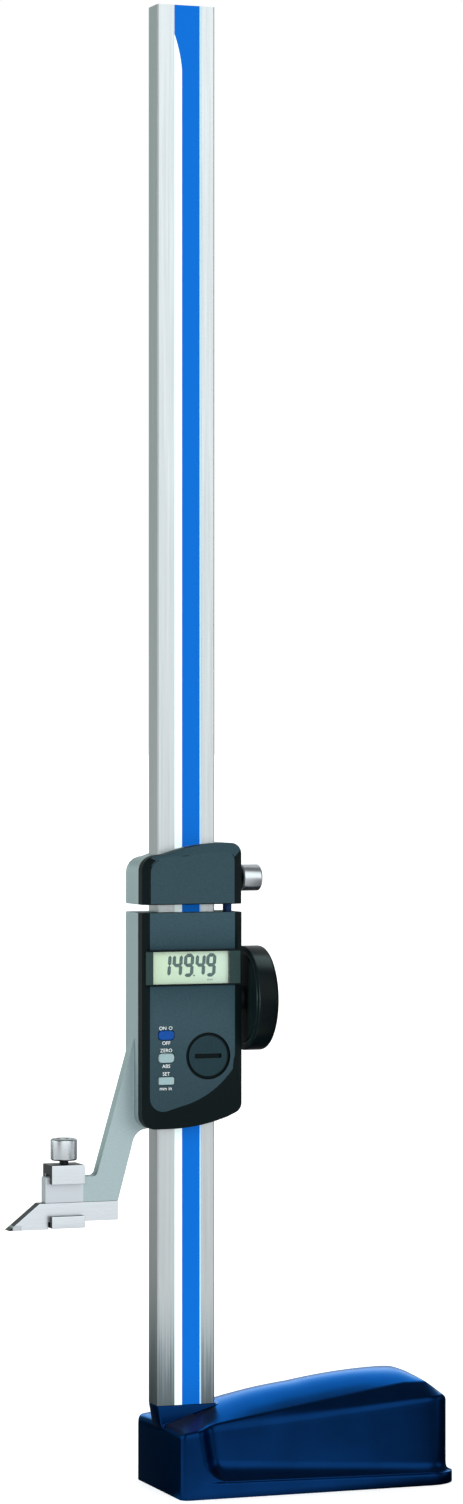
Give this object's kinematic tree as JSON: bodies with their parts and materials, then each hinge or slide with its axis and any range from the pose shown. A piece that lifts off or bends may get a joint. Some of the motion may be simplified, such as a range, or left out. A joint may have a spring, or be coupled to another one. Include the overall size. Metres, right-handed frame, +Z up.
{
  "type": "digital height gauge",
  "caption": "Digital height gauge: a measuring head with display, keys and clamped scriber slides on a steel column over a cast base, with a clamped carriage and handwheel fine adjustment.",
  "frame": {"origin": "on the surface plate, under the column's centre line", "axes": "+Z up along the column; +X along the base, away from the scriber; the display faces -Y"},
  "size_m": [0.2575, 0.08, 0.835],
  "materials": {
    "base_paint": "gloss enamel",
    "column_steel": "ground",
    "bolt_steel": "black oxide",
    "scale_board": "lacquer",
    "scale_print": "printed film",
    "satin_steel": "satin chrome",
    "cover_plastic": "fine texture",
    "bezel_plastic": "gloss",
    "lens": "clear",
    "lcd": "reflective display",
    "circuit": "solder mask",
    "brass": "machined",
    "silicone": "matt",
    "cell_steel": "nickel",
    "blue_key": "satin",
    "grey_key": "satin",
    "seal_rubber": "matt",
    "wheel_plastic": "satin",
    "shaft_steel": "ground",
    "blued_steel": "blued",
    "chrome": "polished",
    "carbide": "lapped"
  },
  "bodies": {
    "stand": {"base_casting": "base_paint", "column": "column_steel", "column_bolts": "bolt_steel", "scale_strip": "scale_board", "scale_film": "scale_print"},
    "carriage": {"carriage_body": "satin_steel", "carriage_back_plate": "satin_steel", "carriage_back_screws": "bolt_steel", "carriage_cover": "cover_plastic", "carriage_cover_screws": "bolt_steel", "spindle_nut": "brass"},
    "clamp_pad": {"clamp_pad": "brass"},
    "clamp_screw": {"clamp_stud": "bolt_steel", "clamp_knob": "chrome"},
    "slider": {"slider_body": "satin_steel", "slider_back_plate": "satin_steel", "slider_back_screws": "bolt_steel", "gib_strip": "brass", "gib_screws": "bolt_steel", "housing_cover": "cover_plastic", "housing_screws": "bolt_steel", "window_bezel": "bezel_plastic", "window_lens": "lens", "lcd_panel": "lcd", "main_board": "circuit", "sensor_board": "circuit", "board_connector": "bezel_plastic", "key_mat": "silicone", "coin_cell": "cell_steel", "cell_contact": "brass", "wheel_bearing": "brass", "bearing_screws": "bolt_steel", "spindle_bush": "brass"},
    "handwheel": {"handwheel": "wheel_plastic", "wheel_shaft": "shaft_steel", "wheel_gear": "brass", "wheel_screw": "shaft_steel", "wheel_cap": "wheel_plastic"},
    "spindle": {"spindle": "blued_steel", "spindle_gear": "brass", "spindle_collar": "shaft_steel"},
    "power_key": {"power_key": "blue_key"},
    "zero_key": {"zero_key": "grey_key"},
    "unit_key": {"unit_key": "grey_key"},
    "battery_cover": {"battery_cover": "cover_plastic", "battery_seal": "seal_rubber"},
    "stirrup": {"scriber_stirrup": "chrome"},
    "stirrup_screw": {"stirrup_stud": "bolt_steel", "stirrup_knob": "chrome"},
    "scriber": {"scriber": "column_steel", "carbide_tip": "carbide"}
  },
  "joints": [
    {"name": "carriage_slide", "type": "slide", "parent": "stand", "child": "carriage", "axis": [0, 0, 1], "range_m": [-0.1444, 0.4465]},
    {"name": "fine_slide", "type": "slide", "parent": "carriage", "child": "slider", "axis": [0, 0, 1], "range_m": [-0.005, 0.004]},
    {"name": "handwheel_turn", "type": "hinge", "parent": "slider", "child": "handwheel", "pos_m": [0.025, -0.0065, 0.27629], "axis": [1, 0, 0], "range_deg": [-2252, 1802]},
    {"name": "spindle_turn", "type": "hinge", "parent": "slider", "child": "spindle", "pos_m": [0.025, -0.0065, 0.28949], "axis": [0, 0, 1], "range_deg": [-2252, 1802]},
    {"name": "clamp_pad_slide", "type": "slide", "parent": "carriage", "child": "clamp_pad", "axis": [1, 0, 0], "range_m": [0, 0.0008]},
    {"name": "clamp_turn", "type": "hinge", "parent": "clamp_pad", "child": "clamp_screw", "pos_m": [0.04, 0, 0.34399], "axis": [1, 0, 0], "range_deg": [0, 361]},
    {"name": "power_key_press", "type": "slide", "parent": "slider", "child": "power_key", "axis": [0, 1, 0], "range_m": [0, 0.0008], "stiffness_N_per_m": 250, "springref_m": -0.0008},
    {"name": "zero_key_press", "type": "slide", "parent": "slider", "child": "zero_key", "axis": [0, 1, 0], "range_m": [0, 0.0008], "stiffness_N_per_m": 250, "springref_m": -0.0008},
    {"name": "unit_key_press", "type": "slide", "parent": "slider", "child": "unit_key", "axis": [0, 1, 0], "range_m": [0, 0.0008], "stiffness_N_per_m": 250, "springref_m": -0.0008},
    {"name": "battery_cover_turn", "type": "hinge", "parent": "slider", "child": "battery_cover", "pos_m": [0.0087, -0.0205, 0.24509], "axis": [0, -1, 0], "range_deg": [0, 90]},
    {"name": "stirrup_turn", "type": "hinge", "parent": "slider", "child": "stirrup_screw", "pos_m": [-0.0696, 0, 0.18949], "axis": [0, 0, 1], "range_deg": [0, 361]},
    {"name": "stirrup_slide", "type": "slide", "parent": "slider", "child": "stirrup", "axis": [0, 0, 1], "range_m": [-0.0008, 0]},
    {"name": "scriber_slide", "type": "slide", "parent": "slider", "child": "scriber", "axis": [1, 0, 0], "range_m": [-0.02, 0]}
  ],
  "couplings": [
    {"joint": "handwheel_turn", "follows": "fine_slide", "rad_per_m": 7854},
    {"joint": "spindle_turn", "follows": "fine_slide", "rad_per_m": 7854},
    {"joint": "clamp_turn", "follows": "clamp_pad_slide", "rad_per_m": 7854},
    {"joint": "stirrup_turn", "follows": "stirrup_slide", "rad_per_m": -7854}
  ]
}
